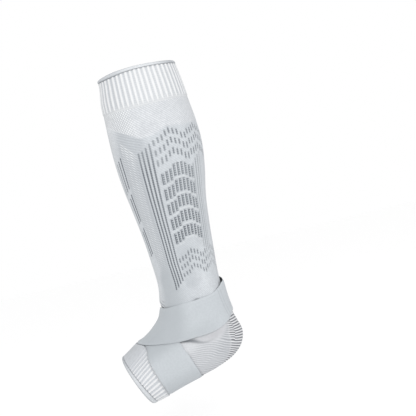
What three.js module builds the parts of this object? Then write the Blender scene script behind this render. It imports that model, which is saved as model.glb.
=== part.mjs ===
// An open-toe compression sock for one lower leg, in its worn shape, with a figure-of-eight ankle strap.
// Millimetres. +Z runs up the leg, the toes point to -X, and the origin is the centre of the top opening.
import * as THREE from 'three';

// Knitted wall and the clearances between neighbouring pieces
const WALL = 1.6;
const SEAM_GAP = 0.3;
const STRAP_GAP = 0.6;

// Cuffs and their rolled welts
const CUFF_RIBS = 52;
const TOE_RIBS = 52;
const RIB_HEIGHT = 0.9;
const RIB_FADE = 0.3; // length in sections over which a rib runs out
const RIB_CLEARANCE = 0.1; // bare length in sections between the strap and the toe ribs
const RIB_CREST = [1 / 3, 2 / 3]; // where the flat crest starts and ends within one pitch
const WELT_THICKNESS = 3.2;
const WELT_BULGE = 1.0; // how far a welt stands out beyond the knit
const WELT_SIDES = 8;
const WELT_FULLNESS = 0.8; // power of the welt's profile: 1 is an ellipse, less is boxier

// Elastic strap and its closure patch
const STRAP_THICKNESS = 1.4;
const PATCH_THICKNESS = 1.0;
const PATCH_INSET = 0.16; // share of the strap's width left bare on each side of the patch
const LAYER_GAP = 0.4;
const END_CLIMB = [2.4, 0.6]; // rows before the start where the strap's end begins and ends its climb

// Facets
const TUBE_SEGMENTS = 40;
const LEG_SPANS = 14;
const HEEL_SPANS = 9;
const WELT_SEGMENTS = 48;
const STRAP_SEGMENTS = 6; // across the strap
const STRAP_TURN = 9.5; // most degrees that the strap turns between two profiles

const table = (names, rows) => rows.map(
  (row) => Object.fromEntries(names.map((name, column) => [name, row[column]])),
);

// Sections from the top opening down the leg, fanned round the instep and heel, to the toe opening.
// Each is a rounded loop between a point on the shin or instep and one on the calf, heel or sole.
const SECTIONS = table(
  ['name', 'frontX', 'frontZ', 'backX', 'backZ', 'halfWidth', 'squareness'],
  [
    ['top_rim', -51.6, 0, 51.0, 0, 49.6, 2.0],
    ['cuff', -53.3, -25, 54.8, -25, 52.0, 2.0],
    ['cuff_end', -54.2, -49, 57.6, -49, 54.0, 2.0],
    ['calf_upper', -55.0, -80, 61.2, -80, 56.0, 2.05],
    ['calf_belly', -54.6, -110, 62.2, -110, 56.0, 2.1],
    ['calf_lower', -52.0, -142, 58.2, -142, 52.5, 2.1],
    ['shin', -47.0, -177, 51.2, -177, 46.5, 2.1],
    ['shin_lower', -41.9, -213, 47.1, -213, 40.5, 2.1],
    ['ankle_upper', -38.8, -247, 44.5, -249, 36.0, 2.1],
    ['ankle', -37.2, -275, 42.5, -281, 33.8, 2.1],
    ['ankle_lower', -39.2, -296, 44.0, -307, 33.5, 2.1],
    ['achilles', -40.4, -309.5, 47.4, -327, 34.0, 2.15],
    ['heel_top', -43.8, -318.8, 52.4, -344, 34.5, 2.2],
    ['heel_back', -49.8, -326.2, 56.2, -360, 35.0, 2.3],
    ['heel_turn', -56.6, -332.4, 51.0, -376, 35.4, 2.4],
    ['heel_base', -62.8, -337.2, 38.0, -388.4, 35.8, 2.4],
    ['arch_back', -69.0, -341.0, 18.5, -397.2, 36.4, 2.4],
    ['arch', -75.6, -344.6, -4.5, -403.8, 37.2, 2.35],
    ['arch_front', -82.5, -348.3, -28.5, -410.0, 38.0, 2.3],
    ['ball', -90.0, -352.0, -51.0, -416.6, 38.6, 2.25],
    ['toe_cuff', -97.4, -355.6, -68.0, -421.6, 38.8, 2.2],
    ['toe_rim', -104.4, -359.0, -77.5, -424.4, 38.0, 2.2],
  ],
);

// Soft swells of the knit, the same on both sides. Station and reach are in sections, angles in
// degrees from the front, and slant is how far the swell's ridge climbs for each degree.
const SWELLS = table(
  ['name', 'station', 'angle', 'slant', 'reach', 'reachAngle', 'height'],
  [['below_strap', 13.45, 106, -0.049, 0.5, 20, 2.4]],
);

// One pass of the strap from the Achilles round the near ankle, over the instep and down to the sole.
// Its two edges are in sections. Bridge is how far an edge stands off the knit where it spans a
// hollow, and cross how far it rises to clear the other pass beneath it.
const STRAP_PASS = table(
  ['angle', 'upper', 'lower', 'bridgeUpper', 'bridgeLower', 'crossUpper', 'crossLower'],
  [
    [180, 9.22, 11.27, 3.2, 0.6, 0, 0],
    [168, 9.26, 11.31, 3.1, 0.6, 0, 0],
    [154, 9.44, 11.54, 2.5, 0.5, 0, 0],
    [128, 9.86, 12.25, 0.5, 0, 0, 0],
    [105, 10.06, 13.05, 0, 0, 0, 0.2],
    [90, 10.2, 13.68, 0, 0, 0, 1.0],
    [76, 10.31, 14.6, 0, 0, 0, 2.6],
    [62, 10.45, 15.38, 0, 0, 0.3, 3.0],
    [48, 10.6, 16.18, 0, 0, 1.1, 2.8],
    [34, 10.72, 16.82, 0, 0, 1.9, 2.4],
    [18, 10.68, 17.36, 0, 0, 2.2, 2.2],
    [0, 10.8, 17.6, 0, 0, 2.2, 2.2],
    [-18, 11.4, 17.3, 0, 0, 2.2, 2.2],
    [-34, 12.3, 16.95, 0, 0, 2.4, 1.9],
    [-48, 13.15, 17.3, 0, 0, 2.8, 1.1],
    [-62, 13.9, 17.92, 0, 0, 3.0, 0.3],
    [-76, 14.66, 18.28, 0, 0, 2.2, 0],
    [-92, 15.69, 18.58, 0, 0, 0.6, 0],
    [-112, 16.4, 18.82, 0, 0, 0, 0],
    [-150, 17.01, 19.11, 0, 0, 0, 0],
    [-180, 17.1, 19.18, 0, 0, 0, 0],
  ],
);

// Rows of that table where the strap starts, where its far end lies, and where the closure patch sits
const LAST_ROW = STRAP_PASS.length - 1;
const START_ROW = 4;
const END_ROW = 2.2;
const PATCH_ROWS = [3.6, 2.5];

// Where each tube ends, in sections
const CUFF_TOP = 0.19;
const CUFF_BOTTOM = 1.98;
const LEG_BOTTOM = 10.95;
const TOE_TOP = (angle) => 17.2 - 0.4 * Math.cos(angle);
const TOE_BOTTOM = 20.47;
const TOE_RIM = SECTIONS.length - 1;

const smoothCurve = (points) => new THREE.CatmullRomCurve3(points, false, 'catmullrom', 0.5);
const vectors = (rows, x, y, z) => rows.map((row) => new THREE.Vector3(row[x], row[y] ?? 0, row[z] ?? 0));
const frontLine = smoothCurve(vectors(SECTIONS, 'frontX', 'level', 'frontZ'));
const backLine = smoothCurve(vectors(SECTIONS, 'backX', 'level', 'backZ'));
const girth = smoothCurve(vectors(SECTIONS, 'halfWidth', 'squareness'));
const strapEdges = smoothCurve(vectors(STRAP_PASS, 'angle', 'upper', 'lower'));
const strapBridge = smoothCurve(vectors(STRAP_PASS, 'bridgeUpper', 'bridgeLower'));
const strapCross = smoothCurve(vectors(STRAP_PASS, 'crossUpper', 'crossLower'));

const rounded = (value, power) => Math.sign(value) * Math.abs(value) ** power;

// A point of the loop at a station. Angle 0 is the front, and a quarter turn is the near side, at -Y.
function loopPoint(station, angle) {
  const along = THREE.MathUtils.clamp(station / TOE_RIM, 0, 1);
  const front = frontLine.getPoint(along);
  const back = backLine.getPoint(along);
  const { x: halfWidth, y: squareness } = girth.getPoint(along);
  const forward = rounded(Math.cos(angle), 2 / squareness);
  const point = back.clone().lerp(front, (1 + forward) / 2);
  point.y = -halfWidth * rounded(Math.sin(angle), 2 / squareness);
  return point;
}

function swellHeight(station, angle) {
  const side = Math.abs(THREE.MathUtils.radToDeg(Math.atan2(Math.sin(angle), Math.cos(angle))));
  return SWELLS.reduce((sum, swell) => {
    const turn = side - swell.angle;
    const across = (station - swell.station - swell.slant * turn) / swell.reach;
    return sum + swell.height * Math.exp(-(across ** 2) - (turn / swell.reachAngle) ** 2);
  }, 0);
}

// A point of the knit's outer face, moved out by a height along the face's normal
function skin(station, angle, height = 0) {
  const step = 0.01;
  const low = Math.max(station - step, 0);
  const high = Math.min(station + step, TOE_RIM);
  const down = loopPoint(high, angle).sub(loopPoint(low, angle));
  const round = loopPoint(station, angle + step).sub(loopPoint(station, angle - step));
  const normal = down.cross(round).normalize();
  return loopPoint(station, angle).addScaledVector(normal, height + swellHeight(station, angle));
}

// Joins a row of closed profiles, all with as many points, into one closed body. A ring of profiles
// closes on itself, and a band gets a cap at both ends.
function joinProfiles(profiles, isRing) {
  const count = profiles[0].length;
  const positions = profiles.flat().flatMap((point) => point.toArray());
  const triangles = [];
  const quad = (a, b, c, d) => triangles.push(a, b, c, a, c, d);
  const spans = isRing ? profiles.length : profiles.length - 1;
  for (let span = 0; span < spans; span += 1) {
    const here = span * count;
    const next = ((span + 1) % profiles.length) * count;
    for (let i = 0; i < count; i += 1) {
      const j = (i + 1) % count;
      quad(here + i, here + j, next + j, next + i);
    }
  }
  if (!isRing) {
    const last = (profiles.length - 1) * count;
    for (let i = 0; i < count / 2 - 1; i += 1) {
      const partner = count - 1 - i;
      quad(i, partner, partner - 1, i + 1);
      quad(last + i, last + i + 1, last + partner - 1, last + partner);
    }
  }
  const geometry = new THREE.BufferGeometry();
  geometry.setAttribute('position', new THREE.Float32BufferAttribute(positions, 3));
  geometry.setIndex(triangles);
  geometry.computeVertexNormals();
  return geometry;
}

// The seam's gap in sections, from the spacing of the sections along the front
function seamAt(station) {
  const here = frontLine.getPoint(station / TOE_RIM);
  const before = frontLine.getPoint((station - 1) / TOE_RIM);
  return SEAM_GAP / here.distanceTo(before);
}

const turns = (segments) => Array.from({ length: segments }, (_, i) => (2 * Math.PI * i) / segments);
const steps = (from, to, spans) => Array.from(
  { length: spans + 1 },
  (_, i) => from + ((to - from) * i) / spans,
);

// A plain knitted tube between two ends, which may slant with the angle
function tube(topAt, bottomAt, spans) {
  return joinProfiles(turns(TUBE_SEGMENTS).map((angle) => {
    const stations = steps(topAt(angle), bottomAt(angle), spans);
    const outer = stations.map((station) => skin(station, angle));
    const inner = stations.toReversed().map((station) => skin(station, angle, -WALL));
    return [...outer, ...inner];
  }), true);
}

// A ribbed tube. Heights of the rib are given at a few stations, and every rib has a flat crest.
function ribbedTube(ribs, stationsAt) {
  const pitch = (2 * Math.PI) / ribs;
  const corners = [[0, 0], [RIB_CREST[0], 1], [RIB_CREST[1], 1]];
  const profiles = turns(ribs).flatMap((start) => corners.map(([share, crest]) => {
    const angle = start + share * pitch;
    const rows = stationsAt(angle);
    const outer = rows.map(({ station, rise }) => skin(station, angle, crest * rise * RIB_HEIGHT));
    const inner = [rows.at(-1), rows[0]].map(({ station }) => skin(station, angle, -WALL));
    return [...outer, ...inner];
  }));
  return joinProfiles(profiles, true);
}

// A rolled welt with a rounded profile between two stations
function welt(from, to) {
  const middle = (from + to) / 2;
  const core = WELT_BULGE - WELT_THICKNESS / 2;
  return joinProfiles(turns(WELT_SEGMENTS).map((angle) => turns(WELT_SIDES).map((turn) => {
    const station = middle - ((to - from) / 2) * rounded(Math.cos(turn), WELT_FULLNESS);
    return skin(station, angle, core + (WELT_THICKNESS / 2) * rounded(Math.sin(turn), WELT_FULLNESS));
  })), true);
}

// One cross profile of a band that lies over the knit at a row of the strap's table
function bandProfile({ row, mirrored, crossing, raise, inset, thickness }) {
  const along = row / LAST_ROW;
  const { x: degrees, y: upper, z: lower } = strapEdges.getPoint(along);
  const bridge = strapBridge.getPoint(along);
  const cross = strapCross.getPoint(along);
  const angle = THREE.MathUtils.degToRad(mirrored ? -degrees : degrees);
  const shares = steps(inset, 1 - inset, STRAP_SEGMENTS);
  const place = (share, extra) => {
    const lift = THREE.MathUtils.lerp(bridge.x, bridge.y, share)
      + (crossing ? THREE.MathUtils.lerp(cross.x, cross.y, share) : 0);
    return skin(THREE.MathUtils.lerp(upper, lower, share), angle, STRAP_GAP + lift + raise + extra);
  };
  return [
    ...shares.map((share) => place(share, thickness)),
    ...shares.toReversed().map((share) => place(share, 0)),
  ];
}

// Rows of the strap's table between two of them, close enough together for the strap's turn
function rowsBetween(from, to) {
  const way = Math.sign(to - from);
  const rows = [from];
  while ((to - rows.at(-1)) * way > 0) {
    const here = rows.at(-1);
    const whole = way > 0 ? Math.floor(here) + 1 : Math.ceil(here) - 1;
    const next = way > 0 ? Math.min(whole, to) : Math.max(whole, to);
    const turn = strapEdges.getPoint(here / LAST_ROW).x - strapEdges.getPoint(next / LAST_ROW).x;
    rows.push(...steps(here, next, Math.ceil(Math.abs(turn) / STRAP_TURN)).slice(1));
  }
  return rows;
}

// The strap runs from its start on the far ankle, behind the heel, along the outer pass to the sole,
// and back along the inner pass to its end, which lies over the start and the patch.
function strap() {
  const layers = STRAP_THICKNESS + PATCH_THICKNESS + 2 * LAYER_GAP;
  const [climbFrom, climbTo] = END_CLIMB.map((rows) => START_ROW + rows);
  const overStart = (row) => layers * THREE.MathUtils.smoothstep(-row, -climbFrom, -climbTo);
  const plain = { inset: 0, thickness: STRAP_THICKNESS, crossing: false, raise: 0 };
  const start = rowsBetween(START_ROW, 0).map((row) => ({ ...plain, row, mirrored: true }));
  const outer = rowsBetween(0, LAST_ROW).map(
    (row) => ({ ...plain, row, mirrored: false, crossing: true }),
  );
  const inner = rowsBetween(LAST_ROW, END_ROW).map(
    (row) => ({ ...plain, row, mirrored: true, raise: overStart(row) }),
  );
  const path = [...start.slice(0, -1), ...outer, ...inner.slice(1)];
  return joinProfiles(path.toReversed().map(bandProfile), false);
}

// The closure patch lies between the strap's start and its end
function patch() {
  const onStrap = {
    mirrored: true,
    crossing: false,
    raise: STRAP_THICKNESS + LAYER_GAP,
    inset: PATCH_INSET,
    thickness: PATCH_THICKNESS,
  };
  const path = rowsBetween(...PATCH_ROWS).toReversed().map((row) => ({ ...onStrap, row }));
  return joinProfiles(path.map(bandProfile), false);
}

// The last station that the strap covers at an angle, on either pass
const passPoints = strapEdges.getPoints(12 * LAST_ROW);
function strapCovers(angle) {
  const degrees = THREE.MathUtils.radToDeg(Math.atan2(Math.sin(angle), Math.cos(angle)));
  const lowerAt = (wanted) => passPoints.reduce(
    (best, point) => (Math.abs(point.x - wanted) < Math.abs(best.x - wanted) ? point : best),
  ).z;
  return Math.max(lowerAt(degrees), lowerAt(-degrees));
}

const cuffStations = () => [
  { station: CUFF_TOP + seamAt(1), rise: 1 },
  { station: CUFF_BOTTOM - RIB_FADE, rise: 1 },
  { station: CUFF_BOTTOM, rise: 0 },
];
const toeStations = (angle) => {
  const edge = strapCovers(angle) + RIB_CLEARANCE;
  return [
    { station: TOE_TOP(angle) + seamAt(TOE_TOP(angle)), rise: 0 },
    { station: edge, rise: 0 },
    { station: edge + RIB_FADE, rise: 1 },
    { station: TOE_BOTTOM - seamAt(TOE_BOTTOM), rise: 1 },
  ];
};

const PALE = 0xe3e6e8;
const GREY = 0xcdd1d5;
const STRAP_GREY = 0xc6cbd1;
const PIECES = {
  top_welt: { geometry: welt(0, CUFF_TOP), colour: PALE },
  rib_cuff: { geometry: ribbedTube(CUFF_RIBS, cuffStations), colour: PALE },
  leg_sleeve: {
    geometry: tube(() => CUFF_BOTTOM + seamAt(CUFF_BOTTOM), () => LEG_BOTTOM, LEG_SPANS),
    colour: GREY,
  },
  heel_pocket: { geometry: tube(() => LEG_BOTTOM + seamAt(LEG_BOTTOM), TOE_TOP, HEEL_SPANS), colour: GREY },
  toe_cuff: { geometry: ribbedTube(TOE_RIBS, toeStations), colour: PALE },
  toe_welt: { geometry: welt(TOE_BOTTOM, TOE_RIM), colour: PALE },
  ankle_strap: { geometry: strap(), colour: STRAP_GREY },
  hook_patch: { geometry: patch(), colour: STRAP_GREY },
};

const sock = new THREE.Group();
for (const [name, { geometry, colour }] of Object.entries(PIECES)) {
  const material = new THREE.MeshStandardMaterial({ color: colour, roughness: 0.9, metalness: 0 });
  const mesh = new THREE.Mesh(geometry, material);
  mesh.name = name;
  sock.add(mesh);
}

export default sock;
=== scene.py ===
# %% [markdown]
# # A knitted compression sock with an ankle strap
#
# This lesson dresses a plain CAD sock as a knitted one. The sock has an open toe, ribbed cuffs at both
# ends, an openwork pattern over the calf, a striped heel and one elastic strap that is wound round the
# ankle in a figure of eight. Everything is in metres, in the frame of the CAD model: +Z runs up the leg,
# the toes point to -X and the side that faces the viewer is at -Y.

# %% Load the CAD frame
import math
import bmesh
import bpy
import numpy as np
from mathutils import Matrix, Vector


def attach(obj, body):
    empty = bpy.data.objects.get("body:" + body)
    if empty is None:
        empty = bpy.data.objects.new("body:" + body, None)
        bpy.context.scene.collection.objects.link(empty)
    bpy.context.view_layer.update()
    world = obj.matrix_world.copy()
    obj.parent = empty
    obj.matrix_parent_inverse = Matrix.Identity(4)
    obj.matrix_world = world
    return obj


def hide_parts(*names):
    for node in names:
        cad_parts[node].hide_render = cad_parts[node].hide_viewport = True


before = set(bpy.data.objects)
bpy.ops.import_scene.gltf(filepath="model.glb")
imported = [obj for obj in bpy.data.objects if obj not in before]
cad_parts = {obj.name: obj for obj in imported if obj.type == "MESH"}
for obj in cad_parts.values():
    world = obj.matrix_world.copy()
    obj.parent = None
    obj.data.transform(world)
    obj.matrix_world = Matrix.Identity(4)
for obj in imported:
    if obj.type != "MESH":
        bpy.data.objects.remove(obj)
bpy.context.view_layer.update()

# %% [markdown]
# ## The camera
#
# The leg leans in the picture, so the camera is rolled about its own line of sight instead of the sock
# being turned. A long lens from 1.3 m keeps the sides of the tube almost parallel.

# %% Place the camera
LEAN = math.radians(13.6)
camera_lens = bpy.data.cameras.new("view_camera")
camera_lens.lens = 86.54
camera_lens.sensor_width = 36
camera = bpy.data.objects.new("view_camera", camera_lens)
to_right = Vector((math.cos(LEAN), 0, -math.sin(LEAN)))
to_top = Vector((math.sin(LEAN), 0, math.cos(LEAN)))
turned = Matrix((to_right, to_top, to_right.cross(to_top))).transposed()
camera.matrix_world = Matrix.Translation((0.0495, -1.3, -0.1956)) @ turned.to_4x4()
bpy.context.scene.collection.objects.link(camera)
bpy.context.scene.camera = camera
print("camera at", tuple(round(number, 3) for number in camera.location))

# %% [markdown]
# ## Floor and light
#
# A white room gives the even light of a product picture. One large soft lamp beside the camera makes the
# middle of each tube brighter than its sides, which is what shows that it is round.

# %% Make the floor, the room light and the lamp
bpy.context.scene.view_settings.view_transform = "Standard"
room = bpy.data.worlds.new("white_room")
room.use_nodes = True
room.node_tree.nodes["Background"].inputs["Color"].default_value = (1, 1, 1, 1)
room.node_tree.nodes["Background"].inputs["Strength"].default_value = 1.0
bpy.context.scene.world = room

floor_shape = bmesh.new()
bmesh.ops.create_grid(floor_shape, x_segments=1, y_segments=1, size=6)
bmesh.ops.translate(floor_shape, verts=floor_shape.verts, vec=(0, 0, -0.50))
floor_mesh = bpy.data.meshes.new("floor")
floor_shape.to_mesh(floor_mesh)
floor_shape.free()
floor = bpy.data.objects.new("floor", floor_mesh)
floor_paint = bpy.data.materials.new("floor_paint")
floor_paint.use_nodes = True
floor_paint.node_tree.nodes["Principled BSDF"].inputs["Base Color"].default_value = (0.99, 0.99, 0.99, 1)
floor_paint.node_tree.nodes["Principled BSDF"].inputs["Roughness"].default_value = 1.0
floor_mesh.materials.append(floor_paint)
bpy.context.scene.collection.objects.link(floor)

lamp_light = bpy.data.lights.new("front_lamp", "AREA")
lamp_light.shape = "DISK"
lamp_light.size = 0.9
lamp_light.energy = 10.5
lamp = bpy.data.objects.new("front_lamp", lamp_light)
lamp.location = (0.2, -1.7, 0.35)
lamp.rotation_euler = (Vector((0, 0, -0.2)) - lamp.location).to_track_quat("-Z", "Y").to_euler()
bpy.context.scene.collection.objects.link(lamp)
print("stage ready")

# %% [markdown]
# ## Sums with shader values
#
# A knit is a pattern that repeats, so its colour and relief are sums of waves. The class below holds one
# output of a node tree and lets Python's own signs add the Math nodes. Every other node comes from one
# method, which sets the node's settings before it fills or links its inputs.

# %% A small class for shader values


def math_node(operation):
    """A method that adds one Math node for this value and any others."""
    return lambda *values: values[0].math(operation, *values)


class Shade:
    """One output in a material's node tree, used like a number."""

    def __init__(self, tree, socket=None):
        self.tree = tree
        self.socket = socket

    def node(self, kind, settings, inputs, output=0):
        made = self.tree.nodes.new(kind)
        for setting, value in settings.items():
            setattr(made, setting, value)
        for place, value in inputs.items():
            if isinstance(value, Shade):
                self.tree.links.new(value.socket, made.inputs[place])
            else:
                made.inputs[place].default_value = value
        return Shade(self.tree, made.outputs[output])

    def math(self, operation, *values):
        return self.node("ShaderNodeMath", {"operation": operation}, dict(enumerate(values)))

    __add__ = __radd__ = math_node("ADD")
    __sub__ = math_node("SUBTRACT")
    __mul__ = __rmul__ = math_node("MULTIPLY")
    __truediv__ = math_node("DIVIDE")
    __pow__ = math_node("POWER")
    __abs__ = math_node("ABSOLUTE")
    most = math_node("MAXIMUM")
    past_whole = math_node("FRACT")

    def __rsub__(self, other):
        return self.math("SUBTRACT", other, self)

    def wave(self):
        """A smooth wave from 0 to 1 that repeats for each whole number."""
        return self.math("COSINE", self * (2 * math.pi)) * 0.5 + 0.5

    def between(self, low, high):
        """Runs smoothly from 0 at low to 1 at high."""
        settings = {"interpolation_type": "SMOOTHSTEP", "clamp": True}
        return self.node("ShaderNodeMapRange", settings, {0: self, 1: low, 2: high, 3: 0.0, 4: 1.0})

    def mark(self, name):
        """A value that was kept on the mesh, point by point."""
        return self.node("ShaderNodeAttribute", {"attribute_name": name}, {}, "Fac")

    def around(self):
        """The share of a full turn round the tube, from the piece's own UV map."""
        place = self.node("ShaderNodeUVMap", {"uv_map": "knit"}, {})
        return self.node("ShaderNodeSeparateXYZ", {}, {0: place}, 0)

    def cloud(self, size, detail=2.0):
        """A soft cloud of noise on the object's own coordinates, with spots of a size in metres."""
        place = self.node("ShaderNodeTexCoord", {}, {}, "Object")
        return self.node("ShaderNodeTexNoise", {}, {"Vector": place, "Scale": 1 / size, "Detail": detail})

    def grain(self):
        """The fine uneven grain that thick and thin places of the yarn give to a knit, from 0 to 1."""
        return self.cloud(0.0022, 1.0).between(0.3, 0.7)

    def mix(self, share, first, second):
        settings = {"data_type": "RGBA", "clamp_factor": True}
        return self.node("ShaderNodeMix", settings, {0: share, 6: first, 7: second}, 2)

    def coats(self, colour, *layers):
        """Lays tints over a colour, one after another, each by its own share."""
        for share, screen_values in layers:
            colour = self.mix(share, colour, tint(*screen_values))
        return colour


def tint(red, green, blue):
    """A colour from screen values of 11 to 255, as the linear numbers that a shader works with."""
    linear = [((part / 255 + 0.055) / 1.055) ** 2.4 for part in (red, green, blue)]
    return (*linear, 1.0)


def start_fabric(name):
    """A matt material with its node tree, ready for colour and relief."""
    cloth = bpy.data.materials.new(name)
    cloth.use_nodes = True
    surface = cloth.node_tree.nodes["Principled BSDF"]
    surface.inputs["Roughness"].default_value = 0.92
    surface.inputs["Specular IOR Level"].default_value = 0.18
    surface.inputs["Sheen Weight"].default_value = 0.08
    surface.inputs["Sheen Roughness"].default_value = 0.5
    return cloth, Shade(cloth.node_tree)


def finish_fabric(cloth, shade, colour, relief, height, *pieces):
    """Links the colour and a relief of so many metres, and gives the material to its pieces."""
    surface = shade.tree.nodes["Principled BSDF"]
    shade.tree.links.new(colour.socket, surface.inputs["Base Color"])
    bump = shade.node("ShaderNodeBump", {}, {"Strength": 1.0, "Distance": height, "Height": relief})
    shade.tree.links.new(bump.socket, surface.inputs["Normal"])
    for piece in pieces:
        piece.data.materials.append(cloth)
    print(cloth.name, "has", len(shade.tree.nodes), "nodes")


def stitches(wale, course):
    """Rows of small V-shaped loops: wale counts stitches round the leg and course counts rows."""
    side = abs(wale.past_whole() - 0.5) * 2
    loop = (course + side * 0.45).wave()
    return loop * (1 - side ** 3)


print("shader sums ready")

# %% [markdown]
# ## The form of the leg and foot
#
# The sock is a bent tube. A short table gives its front and back points, half its width and how square
# its loop is, at 22 sections from the top rim to the toe rim. A smooth curve through the rows gives
# every loop between them. The sizes are in millimetres, the same as in the CAD source.

# %% The table of sections
# Columns: front x and z, back x and z, half width, squareness
SECTIONS = np.array([
    (-51.6, 0, 51.0, 0, 49.6, 2.0),
    (-53.3, -25, 54.8, -25, 52.0, 2.0),
    (-54.2, -49, 57.6, -49, 54.0, 2.0),
    (-55.0, -80, 61.2, -80, 56.0, 2.05),
    (-54.6, -110, 62.2, -110, 56.0, 2.1),
    (-52.0, -142, 58.2, -142, 52.5, 2.1),
    (-47.0, -177, 51.2, -177, 46.5, 2.1),
    (-41.9, -213, 47.1, -213, 40.5, 2.1),
    (-38.8, -247, 44.5, -249, 36.0, 2.1),
    (-37.2, -275, 42.5, -281, 33.8, 2.1),
    (-39.2, -296, 44.0, -307, 33.5, 2.1),
    (-40.4, -309.5, 47.4, -327, 34.0, 2.15),
    (-43.8, -318.8, 52.4, -344, 34.5, 2.2),
    (-49.8, -326.2, 56.2, -360, 35.0, 2.3),
    (-56.6, -332.4, 51.0, -376, 35.4, 2.4),
    (-62.8, -337.2, 38.0, -388.4, 35.8, 2.4),
    (-69.0, -341.0, 18.5, -397.2, 36.4, 2.4),
    (-75.6, -344.6, -4.5, -403.8, 37.2, 2.35),
    (-82.5, -348.3, -28.5, -410.0, 38.0, 2.3),
    (-90.0, -352.0, -51.0, -416.6, 38.6, 2.25),
    (-97.4, -355.6, -68.0, -421.6, 38.8, 2.2),
    (-104.4, -359.0, -77.5, -424.4, 38.0, 2.2),
])

# The wall's thickness in mm, and the sections where the calf's knit and the sock end
WALL = 1.6
LEG_BOTTOM = 10.95
TOE_RIM = len(SECTIONS) - 1


def cuff_end(angle):
    """Where the upper cuff ends: a little lower at the sides than at the shin and the calf."""
    turn = np.radians(angle)
    return 2.02 + 0.11 * np.sin(turn) ** 2 + 0.03 * np.cos(turn)


def toe_end(angle):
    """Where the toe cuff ends: the welt after it is wider under the toes than over them."""
    return 20.41 + 0.2 * np.cos(np.radians(np.minimum(1.4 * np.abs(angle), 180)))


print(len(SECTIONS), "sections from rim to rim")

# %% Smooth curves through a table


def smooth_rows(rows, place):
    """Values of a table at places between its rows, on a smooth curve through them."""
    place = np.clip(place, 0, len(rows) - 1)
    index = np.minimum(place.astype(int), len(rows) - 2)
    part = (place - index)[..., None]
    longer = np.vstack([2 * rows[:1] - rows[1:2], rows, 2 * rows[-1:] - rows[-2:-1]])
    before, first, second, after = (longer[index + step] for step in range(4))
    leave = (second - before) / 2
    reach = (after - first) / 2
    swing = 3 * (second - first) - 2 * leave - reach
    return first + part * (leave + part * (swing + part * (leave + reach - 2 * (second - first))))


def rounded(value, power):
    return np.sign(value) * np.abs(value) ** power


def ease(low, high, value):
    """Runs smoothly from 0 at low to 1 at high."""
    share = np.clip((value - low) / (high - low), 0, 1)
    return share * share * (3 - 2 * share)


def look_up(table, place):
    """Values of a table of pairs, on straight lines between them."""
    return np.interp(place, *zip(*table))


def hump(value, start, full, fading, end):
    """Rises from 0 at start to 1 at full, and falls again between fading and end."""
    return ease(start, full, value) * ease(end, fading, value)


def bell(value, middle, width):
    """A soft bump: 1 in the middle, and close to 0 at two widths."""
    return np.exp(-((value - middle) / width) ** 2)


def loop_point(station, angle):
    """Points of the loops. Angle 0 is the front of the leg, and 90 degrees is the near side."""
    front_x, front_z, back_x, back_z, half_width, squareness = np.moveaxis(
        smooth_rows(SECTIONS, station), -1, 0
    )
    turn = np.radians(angle)
    forward = (1 + rounded(np.cos(turn), 2 / squareness)) / 2
    aside = -half_width * rounded(np.sin(turn), 2 / squareness)
    along_x = back_x + (front_x - back_x) * forward
    along_z = back_z + (front_z - back_z) * forward
    return np.stack([along_x, aside, along_z], axis=-1)


print("front of the calf at", loop_point(np.array([4.0]), np.array([0.0]))[0], "mm")

# %% Slack and stretch of the knit
# The crease below the slack, as angles and sections
CREASE = ((70, 14.8), (74, 14.63), (79, 14.41), (83, 14.28), (87, 14.19), (91, 14.21), (95, 14.17),
          (100, 14.03), (106, 13.68), (112, 13.25), (117, 13.02), (124, 12.59), (131, 12.23))
PUFF_HEIGHT = 2.4


def puff(station, angle):
    """The slack of the knit that bulges below the strap, on both sides of the heel, down to a crease."""
    side = np.abs(angle)
    turn = side - 106
    crease = look_up(CREASE, side)
    softness = np.interp(side, (88, 100), (0.14, 0.7))
    cut = ease(crease - softness, crease + 0.1, station) * ease(106, 88, side)
    return PUFF_HEIGHT * bell(station, 13.3 - 0.041 * turn, 0.5) * bell(turn, 0, 20) * (1 - cut)


def drawn_in(station, angle):
    """How far the knit is drawn in, in mm: in front by the rim, at the instep and the sole by the strap."""
    side = np.abs(angle)
    rim = 1.9 * ease(1.5, 0.5, station) * (0.55 + 0.45 * ease(0.1, 0.4, station))
    instep = 1.6 * hump(station, 10.0, 11.0, 16.2, 17.6)
    strap_edge = np.interp(side, (112, 150, 180), (16.4, 17.01, 17.1))
    sole = hump(station, strap_edge - 0.12, strap_edge + 0.12, 18.9, 19.3)
    return ease(75, 15, side) * (rim + instep) + ease(110, 140, side) * sole


def skin(station, angle, height):
    """Points of the knit's outer face in metres, moved out by a height in millimetres."""
    step = 0.01
    high = np.minimum(station + step, TOE_RIM)
    low = np.maximum(station - step, 0)
    down = loop_point(high, angle) - loop_point(low, angle)
    side = loop_point(station, angle + 0.5) - loop_point(station, angle - 0.5)
    normal = np.cross(down, side)
    normal /= np.linalg.norm(normal, axis=-1, keepdims=True)
    lift = (height + puff(station, angle) - drawn_in(station, angle))[..., None]
    return (loop_point(station, angle) + normal * lift) / 1000


def length_down(station):
    """The length along the knit from the top rim, in millimetres, as a mean of front and back."""
    stations = np.linspace(0, TOE_RIM, 400)
    middles = (loop_point(stations, np.zeros(400)) + loop_point(stations, np.full(400, 180.0))) / 2
    spans = np.linalg.norm(np.diff(middles, axis=0), axis=1)
    return np.interp(station, stations, np.concatenate([[0], np.cumsum(spans)]))


print("length from rim to rim", round(float(length_down(TOE_RIM)), 1), "mm")

# %% [markdown]
# ## Rolling a flat grid into a knitted wall
#
# Each knitted piece is one closed wall: it runs down the outside, round the lower edge, up the inside and
# back over the upper edge. A flat grid has just that layout, so the grid is rolled up both ways and
# welded where its sides meet. The grid keeps its UV map, which later counts stitches without a seam.

# %% The rolling tool
RIM_ANGLE = math.radians(50)


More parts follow.
